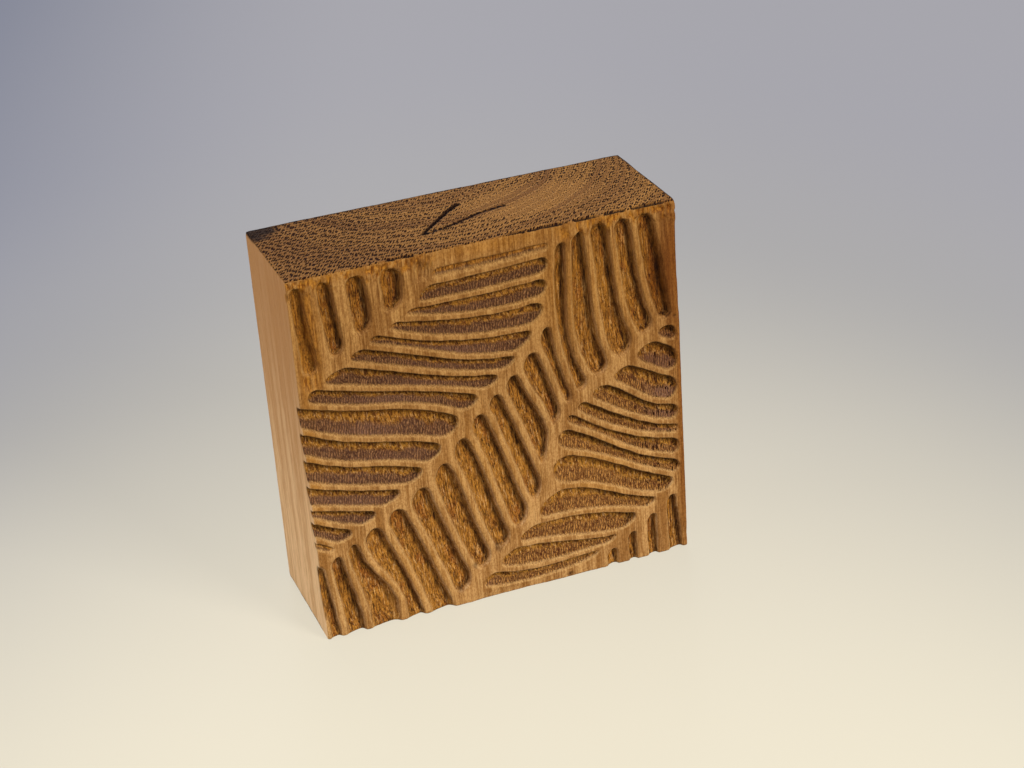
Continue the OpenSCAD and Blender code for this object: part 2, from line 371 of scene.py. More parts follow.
# Form of the carved face at points on it, and the masks that its finish follows.
def faceDetail(x, z):
    points = np.stack([x, np.zeros_like(x), z], 1)

    def noise(cell, seed):
        return latticeNoise(points, cell, seed)

    a = x + noise((1.1, 1, 1.6), 3) * gouge["wobble"]
    b = z + noise((1.6, 1, 1.1), 4) * gouge["wobble"]
    across = sample(acrossShares, x, z)
    upright = 1 - across

    def depthAt(right, up):
        crisp, soft = (sample(depths, a + right, b + up) for depths in (crispDepths, softDepths))
        return soft + (crisp - soft) * np.maximum(across, ease(soft, 0.6, 1.2))

    depth = depthAt(0, 0)
    # The short grooves at the lower right corner went deeper than the rest of their fan.
    corner = ease(x, *gouge["cornerAcross"]) * (1 - ease(z, *gouge["cornerUp"])) * upright
    depth = depth + gouge["cornerDeeper"] * corner * ease(depth, 0.05, 0.4)
    # Positive on a wall that looks up, and on one that looks right.
    near = gouge["slopeStep"]
    upSlope = (depthAt(0, near) - depthAt(0, -near)) / (2 * near)
    sideSlope = (depthAt(near, 0) - depthAt(-near, 0)) / (2 * near)
    deeper = depth - sample(meanDepths, a, b)
    sharper = sample(crispDepths, a, b) - sample(besideDepths, a, b)
    # Share of its groove's depth, with a wavy edge to the strip that the second pass cut.
    share = depth / np.maximum(sample(floorDepths, a, b), 0.2)
    share = share + 0.1 * noise((2.2, 1, 9), 14) + 0.06 * noise((0.7, 1, 9), 15)
    secondPass = (1 - ease(share, *gouge["ledgeEdge"])) * ease(upSlope, 0.05, 0.25)
    # Close to the bottom of an upright groove, where the two walls meet in a ragged line, which the
    # painted crease shade follows.
    vee = depth / np.maximum(sample(sideFloors, a, b), 0.2)
    vee = vee + 0.09 * noise((0.7, 1, 1.6), 17) + 0.07 * noise((0.3, 1, 0.8), 18)
    vee = ease(vee, 0.93, 1.03) * ease(-sideSlope, -0.35, 0.1) * upright
    rimSlope = upSlope * across + sideSlope * upright
    masks = {
        "cut": ease(depth, 0.1, 0.5 + 0.4 * upright * (1 - corner)),
        "lower": secondPass * ease(depth, 0.15, 0.4) * across,
        "upper": (1 - secondPass) * ease(depth, 0.4, 0.9) * across,
        "flank": ease(sideSlope, 0.1, 0.5) * upright,
        "wall": ease(-sideSlope, 0.1, 0.6) * upright,
        # Painted shade along the bottoms of the grooves, where their walls meet.
        "creaseShade": np.maximum(ease(sharper, 0.08, 0.2), vee) * ease(depth, 0.5, 0.9),
        "crest": ease(-deeper, 0.15, 0.6),
        # Painted shadow under the upper crest of each groove that runs across, on the walls that
        # look down.
        "under": ease(-upSlope, 0.9, 2.2) * across,
        "right": sample(rightShares, x, z),
        # Painted highlight on the shallow parts of the walls that look up in the grooves across and
        # right in the upright ones, toward the key lamp.
        "rimHighlight": ease(rimSlope, 0.1, 0.6) * (1 - ease(depth, 0.25, 0.6)),
    }
    cut = ease(depth, 0.15, 0.7)
    # Gouge strokes, lifted fibres on the cut grain and long flutes down the grain.
    short, long = gouge["strokes"]
    stroke = noise((1.5, 1, 1.5), 5) * short + noise((3.2, 1, 3.2), 6) * long
    short, long = gouge["fibres"]
    fibre = noise((0.3, 1, 2.8), 7) * short + noise((0.55, 1, 4.5), 8) * long
    hatch = noise((0.3, 1, 0.9), 9) * gouge["hatch"] * masks["lower"]
    fluted = fibre * (1 - 0.7 * across) * (1 - 0.5 * masks["wall"])
    depth = depth + cut * (stroke + fluted + hatch)
    # The second pass of the gouge left a ledge along the middle of the grooves that run across.
    depth = depth - gouge["ledge"] * masks["lower"] * ease(depth, 0.5, 1.1)
    # Torn ends where the upright grooves stop below the top edge.
    torn = band(z, *gouge["tornUp"]) * np.maximum(1 - ease(x, 20, 23), ease(x, 40, 43))
    tufts = noise((0.4, 1, 0.8), 10)
    depth = depth + torn * np.maximum(tufts, -0.4) * gouge["tufts"]
    # Rough golden strip down the left edge of the upper corner.
    edge = band(z, *gouge["edgeUp"]) * band(x, *gouge["edgeAcross"])
    fluffs = noise((0.32, 1, 1.6), 16)
    level, swing = gouge["edgeDepth"]
    depth = depth + edge * (level + swing * fluffs)
    masks["torn"] = np.maximum(torn * ease(tufts, -0.3, 0.4), edge * (0.55 + 0.45 * fluffs))
    # Rough plain strip at the top, between the two corners of upright grooves.
    strip = band(x, *gouge["stripAcross"]) * ease(z, *gouge["stripUp"])
    depth = depth + strip * np.maximum(noise((0.3, 1, 0.6), 11), 0) * gouge["stripDepth"]
    # The plane left the crests a little uneven.
    level, swing = gouge["crestDepth"]
    depth = depth + (1 - cut) * (level + swing * noise((0.5, 1, 5), 12))
    # The foot runs out a little, and the lower right corner is cut low and broad.
    foot = band(x, *gouge["footAcross"]) * (1 - ease(z, *gouge["footUp"])) * (1 - cut)
    lowCorner = ease(x, *gouge["lowAcross"]) * (1 - ease(z, *gouge["lowUp"]))
    depth = depth + gouge["footDepth"] * foot + gouge["lowDepth"] * lowCorner
    pits = np.zeros_like(x)
    for cx, cz, rx, rz, deep, dark in marks.values():
        close = np.exp(-((x - cx) / rx) ** 2 - ((z - cz) / rz) ** 2)
        pits = pits + dark * close * (0.8 + 0.6 * noise(0.25, 13))
        depth = depth + close * deep
    masks["pit"] = np.clip(pits, 0, 1)
    return np.maximum(depth, 0), masks


# Skin of the block: six nets of points that share their edges. A point is given as
# [across, behind the face, up] on a sharp box, before its carving and wear.
def ladder(size):
    count = int(round(size / block["netStep"] / block["coarse"])) * block["coarse"]
    return np.linspace(0, size, count + 1)


# Distances behind the face, crowded where the edges are worn.
def depthLadder():
    front = [0, 0.13, 0.26, 0.42, 0.62, 0.9, 1.3, 1.8, 2.5, 3.4, 4.4, 5.4]
    middle = list(np.arange(6.0, 16.01, 0.25))
    back = [16.8, 17.8, 18.8, 19.8, 20.5, thick - 0.42, thick - 0.26, thick - 0.13, thick]
    return np.array(front + middle + back)


few = block["coarse"]
acrossRungs, upRungs, backRungs = ladder(wide), ladder(tall), depthLadder()
skinPoints, skinFaces = [], {4: [], few + 3: []}  # the faces by how many corners they have


def addNet(first, second, place, turned):
    start = sum(len(points) for points in skinPoints)
    a, b = np.meshgrid(first, second, indexing="ij")
    points = np.broadcast_arrays(*place(a.ravel(), b.ravel()))
    skinPoints.append(np.stack(points, 1).astype(float))
    index = start + np.arange(a.size).reshape(a.shape)
    quads = [index[:-1, :-1], index[1:, :-1], index[1:, 1:], index[:-1, 1:]]
    quads = np.stack(quads, -1).reshape(-1, 4)
    skinFaces[4].append(quads[:, ::-1] if turned else quads)
    return index


# A side is fine as far back as the rung fineTo and coarse behind it.
def addSide(along, fineTo, place, turned):
    fine = addNet(backRungs[:fineTo + 1], along, place, turned)
    rough = addNet(backRungs[fineTo + 1:], along[::few], place, turned)
    edge, back = fine[-1], rough[0]
    faces = [edge[k:len(edge) - few + k:few] for k in range(few + 1)]
    faces = np.stack(faces + [back[1:], back[:-1]], 1)
    skinFaces[few + 3].append(faces if turned else faces[:, ::-1])


fineSide = block["fineRungs"]
fineTop = int(np.searchsorted(backRungs, block["fineTop"]))
addNet(acrossRungs, upRungs, lambda a, b: (a, 0 * a, b), False)
addNet(acrossRungs[::few], upRungs[::few], lambda a, b: (a, 0 * a + thick, b), True)
addSide(upRungs, fineSide, lambda t, b: (0 * t, t, b), True)
addSide(upRungs, fineSide, lambda t, b: (0 * t + wide, t, b), False)
addSide(acrossRungs, fineSide, lambda t, a: (a, t, 0 * t), False)
addSide(acrossRungs, fineTop, lambda t, a: (a, t, 0 * t + tall), True)
sharp = np.concatenate(skinPoints)
# Points of two nets that lie in the same place, to a micrometre, become one.
_, keep, merged = np.unique(
    np.round(sharp * 1000).astype(np.int64), axis=0, return_index=True, return_inverse=True)
merged = merged.ravel()
sharp = sharp[keep]
faceSets = [merged[np.concatenate(faces)] for faces in skinFaces.values()]
print("skin laid out:", len(sharp), "points,", sum(len(f) for f in faceSets), "faces")

# Broken corners and edges: planes that shave the wood off, as a point on the plane
# and the way it looks, in [across, behind the face, up].
chips = {
    "topRightCorner": ([wide - 0.45, 0.1, tall - 0.1], [0.75, -0.3, 0.6]),
    "footLeftCorner": ([0.25, 0.25, 0.0], [-0.6, -0.6, -0.35]),
}
# Splits in the end grain just behind the front top edge: [from, to], across.
splits = [[14.8, 19.5], [33.4, 42.4], [43.6, 47.6], [48.3, 52.2], [52.8, 58.4]]


# Carves, wears and splits the sharp box, and gives the masks that its finish follows.
def shapeSkin(points):
    x, t, z = points.T
    size = np.array([wide, thick, tall])

    def noise(cell, seed):
        return latticeNoise(points, cell, seed)

    depth, masks = faceDetail(x, z)
    depth = depth * (1 - block["footRise"] * (1 - ease(z, 0, block["footReach"])))
    slow, quick = block["wearSwing"]
    radius = block["wear"] + slow * noise(3.1, 21) + quick * noise(0.7, 22)
    radius = np.clip(radius, *block["wearLimits"])[:, None]
    core = np.clip(points, radius, size - radius)
    out = points - core
    out = out / np.maximum(np.linalg.norm(out, axis=1, keepdims=True), 1e-9)
    placed = core + out * radius
    # Saw marks run up the grain on the sides, and the ends are a little rough.
    saw = noise((1.3, 1.3, 40), 23) * 0.5 + noise((0.35, 0.35, 9), 24) * 0.5 + 1
    end = noise((0.45, 0.8, 9), 25) * 0.6 + noise((2.5, 2.5, 9), 26) * 0.4 + 1
    onEnd = np.abs(out[:, 2])
    onFace = ease(-out[:, 1], 0.5, 0.95)
    push = block["saw"] * (saw * (1 - onEnd) * (1 - onFace) + end * onEnd)
    placed = placed - out * push[:, None]
    # The drying cracks of the top end, with painted shade inside them.
    onTop = ease(out[:, 2], 0.9, 0.999)
    rag = noise(0.5, 27) * block["crackRag"]
    left, forward = block["crackShift"]
    onCrack = (x + rag + left, t + rag + forward)
    placed[:, 2] -= np.minimum(sample(crackDepths, *onCrack), block["crackDepth"]) * onTop
    masks["crack"] = sample(crackMap, *onCrack) * onTop
    # The splits behind its front edge; their mask also paints shade into them.
    split = np.zeros(len(points))
    for start, stop in splits:
        split = np.maximum(split, band(x, start, start + 0.5, stop - 0.5, stop))
    behind = t + 0.1 * noise((1.2, 9, 9), 28)
    split = split * ease(noise((0.6, 9, 9), 30), -0.8, -0.4) * band(behind, -0.1, 0.05, 0.42, 0.7)
    masks["split"] = split * ease(z, tall - 0.25, tall - 0.05)
    placed[:, 2] -= block["splitDepth"] * masks["split"]
    # The notches of the open grooves fade out toward the back of the sides.
    placed[:, 1] += depth * (1 - placed[:, 1] / thick)
    ragged = 0.12 * noise(0.6, 29)
    for spot, way in chips.values():
        way = np.array(way) / np.linalg.norm(way)
        over = np.maximum((placed - np.array(spot)) @ way + ragged, 0)
        placed = placed - over[:, None] * way
    return np.clip(placed, 0.0, size), masks


shaped, masks = shapeSkin(sharp)
print("skin carved and worn")


def buildMesh(name, points, faceSets):
    mesh = bpy.data.meshes.new(name)
    mesh.vertices.add(len(points))
    mesh.vertices.foreach_set("co", ((points + low) * mm).astype(np.float32).ravel())
    loops = np.concatenate([f.ravel() for f in faceSets]).astype(np.int32)
    counts = np.concatenate([np.full(len(f), f.shape[1]) for f in faceSets])
    starts = np.concatenate([[0], np.cumsum(counts)[:-1]]).astype(np.int32)
    mesh.loops.add(len(loops))
    mesh.loops.foreach_set("vertex_index", loops)
    mesh.polygons.add(len(counts))
    mesh.polygons.foreach_set("loop_start", starts)
    mesh.polygons.foreach_set("use_smooth", np.ones(len(counts), dtype=bool))
    mesh.update(calc_edges=True)
    mesh.validate()
    return mesh


def giveMask(mesh, name, values):
    layer = mesh.attributes.new(name, "FLOAT", "POINT")
    layer.data.foreach_set("value", np.asarray(values, np.float32))


# Stains and darker or paler patches of the face:
# [across, up, radius across, radius up, amount].
patches = {
    "stain": [[59.4, 50, 2.2, 10, 1.0], [58.6, 48, 1.6, 9, 0.8], [56.4, 48, 1.2, 6, 0.8],
              [59.8, 28, 0.75, 20, 0.95], [59.5, 12, 0.8, 12, 0.7], [56.8, 34, 4, 1.6, 0.4]],
    "mauve": [[3.5, 24, 3, 1.5, 0.5], [9, 33, 6, 2, 0.8], [14, 38, 8, 2, 0.9],
              [24, 43, 6, 2.5, 0.9], [27, 50.5, 5, 1.5, 0.6], [24, 55.5, 3, 1, 0.6],
              [57, 27, 3, 7, 0.9], [57, 35, 3, 3, 0.9], [6, 21.5, 4, 1.2, 0.7],
              [10, 27.5, 7, 1.5, 0.5], [25, 3, 3, 2, 0.5], [8, 18, 4, 1, 0.5]],
    "golden": [[46, 17, 6, 6, 0.6], [14, 8, 8, 8, 0.5], [28, 22, 6, 9, 0.5], [40, 50, 4, 8, 0.4],
               [49, 48, 7, 8, 0.5], [59.3, 30, 0.6, 40, 0.4], [1.0, 30, 1.3, 12, 0.8],
               [2.4, 50, 1.7, 7, 0.9], [31, 58.5, 9, 1.2, 0.8], [50, 58.9, 8, 0.8, 0.6],
               [10, 58.9, 9, 0.8, 0.6]],
    "fibrous": [[7, 51, 8, 8, 1.0], [16, 56, 6, 4, 0.9], [50, 56.5, 10, 4, 0.9],
                [30, 58, 10, 2, 0.9], [59, 30, 1.2, 30, 0.7], [3, 37, 3, 5, 0.5]],
}


def patchMask(x, z, spots):
    total = np.zeros_like(x)
    for cx, cz, rx, rz, amount in spots:
        near = amount * np.exp(-((x - cx) / rx) ** 2 - ((z - cz) / rz) ** 2)
        total = total + near - total * near
    return total


# Where the saw burnt the top end: how far in from an edge the dark line is full and ends.
burnt = {
    "back": (0.25, 0.6),
    "backShare": 0.8,  # the line along the back is this dark, the others are full
    "right": (0.15, 0.45),
    "corner": (0.8, 1.4),  # here on an oval scale round the back left corner
    "cornerScale": (0.22, 0.24),  # to a millimetre, across and forward
    "down": (0.35, 0.1),  # how far below the top it begins and is full
}


def burnMask(points):
    x, t, z = points.T
    ragged = 0.1 * latticeNoise(points, 0.8, 31) + 0.06 * latticeNoise(points, 0.35, 32)
    back = burnt["backShare"] * (1 - ease(thick - t + ragged, *burnt["back"]))
    right = 1 - ease(wide - x + ragged, *burnt["right"])
    across, forward = burnt["cornerScale"]
    oval = np.hypot(x * across, (thick - t) * forward)
    corner = 1 - ease(oval + 3 * ragged, *burnt["corner"])
    top = ease(tall - z, *burnt["down"])
    return np.maximum(np.maximum(back, right), corner) * top


mesh = buildMesh("stampBlock", shaped, faceSets)
onFront = ease(-sharp[:, 1], -0.9, -0.1)  # the face's masks end just round its edges
split, crack = masks.pop("split"), masks.pop("crack")
for key, values in masks.items():
    giveMask(mesh, key, values * onFront)
# Real burn marks of the saw, and painted shade in the splits behind the front edge.
giveMask(mesh, "burnAndSplitShade", np.maximum(split, burnMask(sharp)))
giveMask(mesh, "crack", crack)
for key, spots in patches.items():
    giveMask(mesh, key, patchMask(sharp[:, 0], sharp[:, 2], spots) * onFront)
stampBlock = bpy.data.objects.new("carved_block", mesh)
bpy.context.scene.collection.objects.link(stampBlock)
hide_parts("stamp_block")
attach(stampBlock, "root")
print("block built:", len(mesh.vertices), "points")


# Short hand for node trees: a value that is a socket is linked, any other is set.
class Tree:
    def __init__(self, owner):
        owner.use_nodes = True
        self.tree = owner.node_tree
        self.tree.nodes.clear()

    def put(self, socket, value):
        if isinstance(value, bpy.types.NodeSocket):
            self.tree.links.new(value, socket)
        else:
            socket.default_value = value

    # An input is given by its name, or as i0, i1 and so on by its number.
    def add(self, kind, settings=None, out=0, **values):
        node = self.tree.nodes.new("ShaderNode" + kind)
        for key, value in (settings or {}).items():
            setattr(node, key, value)
        for key, value in values.items():
            numbered = key[0] == "i" and key[1:].isdigit()
            self.put(node.inputs[int(key[1:]) if numbered else key.replace("_", " ")], value)
        return node.outputs[out] if node.outputs else node

    def math(self, operation, a, b=0.0):
        return self.add("Math", {"operation": operation}, i0=a, i1=b)

    def times(self, a, b):
        return self.math("MULTIPLY", a, b)

    def plus(self, a, b):
        return self.math("ADD", a, b)

    def minus(self, a, b):
        return self.math("SUBTRACT", a, b)

    def most(self, a, b):
        return self.math("MAXIMUM", a, b)

    def rest(self, value):
        return self.minus(1.0, value)

    def wave(self, value, length):
        return self.math("SINE", self.times(value, 2 * math.pi / length))

    def ease(self, value, start, end, low=0.0, high=1.0):
        return self.add("MapRange", {"interpolation_type": "SMOOTHSTEP"}, out="Result", Value=value,
                        From_Min=start, From_Max=end, To_Min=low, To_Max=high)

    def blend(self, share, a, b, how="MIX"):
        node = self.tree.nodes.new("ShaderNodeMix")
        node.data_type = "RGBA"
        node.blend_type = how
        node.clamp_factor = True
        for name, value in (("Factor_Float", share), ("A_Color", a), ("B_Color", b)):
            self.put(next(s for s in node.inputs if s.identifier == name), value)
        return next(s for s in node.outputs if s.identifier == "Result_Color")

    def mask(self, name):
        return self.add("Attribute", {"attribute_name": name}, out="Fac")

    def noise(self, vector, detail=2.0, roughness=0.5, out=0):
        return self.add("TexNoise", out=out, Vector=vector, Scale=1.0, Detail=detail,
                        Roughness=roughness)

    def parts(self, vector):
        return self.add("SeparateXYZ", i0=vector).node.outputs

    def vector(self, operation, a, b=(0, 0, 0), out=0):
        return self.add("VectorMath", {"operation": operation}, out=out, i0=a, i1=b)

    def scaled(self, vector, factors):
        return self.vector("MULTIPLY", vector, factors)

    def moved(self, vector, shift):
        return self.vector("ADD", vector, shift)

    def length(self, vector):
        return self.vector("LENGTH", vector, out="Value")

    # 1 where a ray only shows what it meets: from the camera, in a gloss or through glass.
    def shown(self):
        rays = ("Is Camera Ray", "Is Glossy Ray", "Is Transmission Ray")
        camera, gloss, glass = (self.add("LightPath", out=ray) for ray in rays)
        return self.most(self.most(camera, gloss), glass)


# Colour as it is seen, 0 to 255, to the linear values that the sockets take.
def tone(red, green, blue):
    def linear(c):
        c /= 255
        return c / 12.92 if c <= 0.04045 else ((c + 0.055) / 1.055) ** 2.4
    return (linear(red), linear(green), linear(blue), 1.0)


oak = {
    "planed": tone(194, 148, 91),
    "planedDark": tone(146, 100, 50),
    "crest": tone(197, 150, 91),
    # The sides, with painted light: pale at the foot where the bright floor lights them, darker at
    # the top.
    "side": tone(226, 186, 138),
    "sideDark": tone(194, 148, 98),
    "sideShadedTop": tone(164, 114, 64),
    "gouged": tone(182, 124, 48),
    "gougedDark": tone(92, 50, 16),
    "red": tone(150, 84, 34),
    "wall": tone(172, 121, 55),
    "wallDark": tone(122, 80, 40),
    "upper": tone(182, 128, 48),
    "upperDark": tone(94, 52, 16),
    # Painted highlight for the rims of the grooves.
    "rimHighlight": tone(206, 163, 103),
    # Painted shadow under the upper crests of the grooves that run across.
    "under": tone(38, 18, 8),
    "lower": tone(152, 110, 80),
    "lowerDark": tone(66, 40, 32),
    "bitten": tone(196, 140, 74),
    "bittenDark": tone(78, 34, 14),
    "mauve": tone(136, 100, 84),
    "pale": tone(222, 176, 116),
    "golden": tone(200, 140, 56),
    "goldenDark": tone(132, 80, 26),
    # Painted shade for the creases at the bottoms of the grooves, also used for the slits between
    # strands.
    "creaseShade": tone(36, 17, 6),
    "darkerUpward": (0.72, 0.67, 0.55, 1.0),  # what the darker upper end of the face keeps of each colour
    "stain": (0.5, 0.34, 0.18, 1.0),  # and what a stain keeps
    "strand": (0.6, 0.5, 0.4, 1.0),  # and what is left between loose fibres
    "endGrain": tone(180, 126, 62),
    "endGrainDark": tone(130, 84, 40),
    "endLine": tone(202, 146, 82),
    "pore": tone(44, 18, 6),
    # Dark tone for the saw burns and the pits, and for the painted shade in the cracks and splits.
    "charAndShade": tone(30, 16, 12),
    # How fully each of these covers what lies under it.
    "cover": {
        "crest": 0.45, "golden": 0.5, "sideShadedTop": 0.85, "gougedGolden": 0.6, "red": 0.5,
        "upper": 0.75, "wall": 0.8, "pale": 0.6, "slit": 0.75, "lower": 0.8, "hatch": 0.7,
        "under": 0.9, "strand": 0.75, "grit": 0.6, "endLine": 0.5, "endShade": 0.4,
        "finePore": 0.4, "burnAndSplitShade": 0.9, "pit": 0.85, "crack": 1.0,
    },
    # Broken textures: cells to a millimetre across, back and up, then detail and roughness.
    "textures": {
        "drift": [(0.05, 0.05, 0.012), 2.0, 0.5],  # bends the year rings
        "wander": [(0.06, 0.06, 0.1), 1.0, 0.5],  # bends the pores
        "broken": [(2.2, 2.2, 0.9), 1.0, 0.5],  # breaks the pores into dashes
        "mottle": [(0.5, 0.5, 0.3), 3.0, 0.5],
        "speck": [(4.6, 4.6, 1.9), 2.0, 0.65],
        "streak": [(0.75, 0.6, 0.03), 3.0, 0.6],
        "fineStreak": [(4.2, 3.6, 0.2), 2.0, 0.6],
        "fibre": [(3.4, 3.4, 0.55), 3.0, 0.7],
        "dashes": [(2.6, 2.6, 0.55), 3.0, 0.65],
        "liftedStrand": [(3.6, 3.6, 0.3), 3.0, 0.65],
        "bend": [(0.7, 0.7, 0.7), 2.0, 0.5],  # bends the hatching
        "looseStrand": [(4.5, 4.5, 0.16), 2.0, 0.6],
        "grit": [(4.4, 4.4, 2.8), 2.0, 0.7],
    },
    "pith": (-1.0, 19.4),  # millimetres, across and back from the middle of the block
    "ring": 1.5,  # millimetres from one year ring to the next
    "ringDrift": 6.0,  # millimetres that the rings are bent by
    "bigPore": [0.42, 0.95, 1, 0.6],  # cell across and back, seed, and how scattered
    "smallPore": [0.3, 0.45, 2, 0.8],
    "poreWander": (2.0, 4.5, 0),  # millimetres that the pores are bent by, across and back
    "poreLean": -0.6,  # millimetres across for each millimetre back
    "hatch": 0.42,  # millimetres from one gouge mark to the next
    "hatchSlant": 0.35,  # millimetres across for each millimetre up
    "relief": 0.00035,  # metres, the height of the finest texture
    "reliefStrength": 0.8,
    "roughness": 0.62,
    "poreRoughness": 0.25,  # what a pore adds to it
    "specular": 0.08,
}


def oakMaterial(name):
    material = bpy.data.materials.new(name)
    t = Tree(material)
    cover = oak["cover"]
    place = t.scaled(t.add("TexCoord", out="Object"), (1000, 1000, 1000))  # in millimetres
    x, y, z = t.parts(place)
    _, forward, upward = t.parts(t.add("TexCoord", out="Normal"))
    endOn = t.math("ABSOLUTE", upward)
    cut = t.mask("cut")

    def texture(key, out=0):
        cells, detail, roughness = oak["textures"][key]
        return t.noise(t.scaled(place, cells), detail, roughness, out)

    # Year rings round a pith behind the back, bent a little by slow noise.
    pithAcross, pithBack = oak["pith"]
    fromPith = t.add("CombineXYZ", X=t.minus(x, pithAcross), Y=t.minus(y, pithBack))
    radius = t.plus(t.length(fromPith), t.times(texture("drift"), oak["ringDrift"]))
    ring = t.wave(radius, oak["ring"])
    slowRing = t.noise(t.add("CombineXYZ", X=t.times(radius, 0.45), Z=t.times(z, 0.004)), 3.0)
    # Pores: tubes that wander up the grain, dots on cut ends and dashes on long grain. They
    # are ovals that lean, as the rays do.
    wandered = t.moved(place, t.scaled(texture("wander", "Color"), oak["poreWander"]))
    leant = t.moved(wandered, t.add("CombineXYZ", X=t.times(y, oak["poreLean"])))

    def pores(across, back, seed, scatter):
        shifted = t.moved(leant, (seed * 13.7, seed * 5.3, 0))
        cells = t.scaled(shifted, (1 / across, 1 / back, 0))
        return t.add("TexVoronoi", {"feature": "F1", "voronoi_dimensions": "2D"}, out="Distance",
                     Vector=cells, Scale=1.0, Randomness=scatter)

    # They are wider in the early wood and toward the left, and small in one bare patch.
    bare = t.length(t.scaled(t.moved(place, (-11.5, -0.5, 0)), (0.085, 0.16, 0)))
    early = t.ease(ring, -0.9, 0.6)
    limit = t.times(t.plus(t.times(early, 0.2), 0.13), t.ease(bare, 0.6, 1.15, 0.4, 1.0))
    limit = t.plus(limit, t.ease(x, 4, -24, 0.0, 0.07))
    bigPore = t.rest(t.ease(t.minus(pores(*oak["bigPore"]), limit), -0.06, 0.12))
    smallPore = t.rest(t.ease(pores(*oak["smallPore"]), 0.08, 0.36))
    fromMiddle = t.math("ABSOLUTE", t.minus(z, tall / 2))
    endFace = t.ease(fromMiddle, tall / 2 - 0.7, tall / 2 - 0.4)
    endFace = t.times(t.ease(endOn, 0.35, 0.8), endFace)
    # The gouge opened them on the walls that look up, most of all on the right.
    rightward = t.plus(t.ease(x, 14, 26, 0.06, 0.7), t.ease(x, 20, 27, 0.0, 0.3))
    opened = t.times(t.times(t.ease(upward, 0.1, 0.5), cut), rightward)
    longPore = t.times(t.plus(opened, 0.08), t.ease(texture("broken"), 0.42, 0.6))
    strength = t.most(longPore, endFace)
    pore = t.times(bigPore, strength)
    finePore = t.times(smallPore, t.times(strength, cover["finePore"]))
    # Specks where the gouge broke the fibres, most of them on the flanks that look right.
    mottle = texture("mottle")
    rough = t.plus(t.times(t.mask("flank"), 0.3), 0.3)
    rough = t.times(rough, t.ease(mottle, 0.4, 0.6, 0.3, 1.0))
    rough = t.times(t.times(rough, cut), t.rest(t.mask("wall")))
    speck = t.times(t.ease(texture("speck"), 0.53, 0.63), rough)
    pore = t.most(t.most(pore, finePore), speck)
    # Long streaks up the grain, and finer fibres on the gouged wood.
    fineStreak, fibre = texture("fineStreak"), texture("fibre")
    grain = t.plus(t.times(texture("streak"), 0.55), t.times(fineStreak, 0.45))
    streaks = t.ease(grain, 0.4, 0.6)
    planed = t.blend(streaks, oak["planedDark"], oak["planed"])
    planed = t.blend(t.times(t.mask("crest"), cover["crest"]), planed, oak["crest"])
    planed = t.blend(t.times(t.mask("golden"), cover["golden"]), planed, oak["golden"])
    side = t.blend(t.ease(grain, 0.42, 0.6), oak["sideDark"], oak["side"])
    # Painted light on the sides: paler toward the foot and darker toward the top, as the bright
    # floor lights the foot.
    side = t.blend(t.ease(z, 4, 58, 0.0, cover["sideShadedTop"]), side, oak["sideShadedTop"])
    planed = t.blend(t.ease(forward, -0.8, -0.3), planed, side)
    # Gouged wood: golden flanks, smoother brown walls and painted shade along the crease between
    # them.
    gouged = t.blend(t.ease(fibre, 0.36, 0.6), oak["gougedDark"], oak["gouged"])
    gouged = t.blend(t.times(t.mask("golden"), cover["gougedGolden"]), gouged, oak["golden"])
    gouged = t.blend(t.times(t.ease(mottle, 0.52, 0.68), cover["red"]), gouged, oak["red"])
    dashes = t.ease(texture("dashes"), 0.4, 0.58)
    upper = t.blend(dashes, oak["upperDark"], oak["upper"])
    gouged = t.blend(t.times(t.mask("upper"), cover["upper"]), gouged, upper)
    wall = t.blend(streaks, oak["wallDark"], oak["wall"])
    gouged = t.blend(t.times(t.mask("wall"), cover["wall"]), gouged, wall)
    # Pale lifted strands, and dark slits between them, along the upright cuts.
    strands = texture("liftedStrand")
    gouged = t.blend(t.ease(strands, 0.54, 0.66, 0.0, cover["pale"]), gouged, oak["pale"])
    gouged = t.blend(t.ease(strands, 0.44, 0.36, 0.0, cover["slit"]), gouged, oak["creaseShade"])
    # The lower half of the grooves that run across, hatched by the edge of the gouge.
    slant = t.plus(t.minus(x, t.times(z, oak["hatchSlant"])), texture("bend"))
    hatch = t.ease(t.wave(slant, oak["hatch"]), -0.2, 0.9)
    hatch = t.times(t.times(hatch, t.ease(fibre, 0.4, 0.56)), t.mask("lower"))
    bitten = t.ease(fibre, 0.36, 0.62)
    lower = t.blend(bitten, oak["lowerDark"], oak["lower"])
    lower = t.blend(t.mask("right"), lower, t.blend(bitten, oak["bittenDark"], oak["bitten"]))
    lower = t.blend(t.mask("mauve"), lower, oak["mauve"])
    gouged = t.blend(t.times(t.mask("lower"), cover["lower"]), gouged, lower)
    creaseShade = t.times(t.mask("creaseShade"), t.ease(fibre, 0.3, 0.6, 0.95, 0.4))
    gouged = t.blend(creaseShade, gouged, oak["creaseShade"])
    gouged = t.blend(t.times(hatch, cover["hatch"]), gouged, oak["lowerDark"])
    # Torn wood, a painted highlight on the edges of the grooves and a painted shadow under their
    # upper crests.
    torn = t.blend(dashes, oak["goldenDark"], oak["golden"])
    gouged = t.blend(t.mask("torn"), gouged, torn)
    planed = t.blend(t.mask("torn"), planed, torn)
    colour = t.blend(cut, planed, gouged)
    rimHighlight = t.times(t.mask("rimHighlight"), t.ease(fibre, 0.38, 0.58, 0.15, 0.65))
    colour = t.blend(rimHighlight, colour, oak["rimHighlight"])
    # Painted shadow under the upper crests.
    colour = t.blend(t.times(t.mask("under"), cover["under"]), colour, oak["under"])
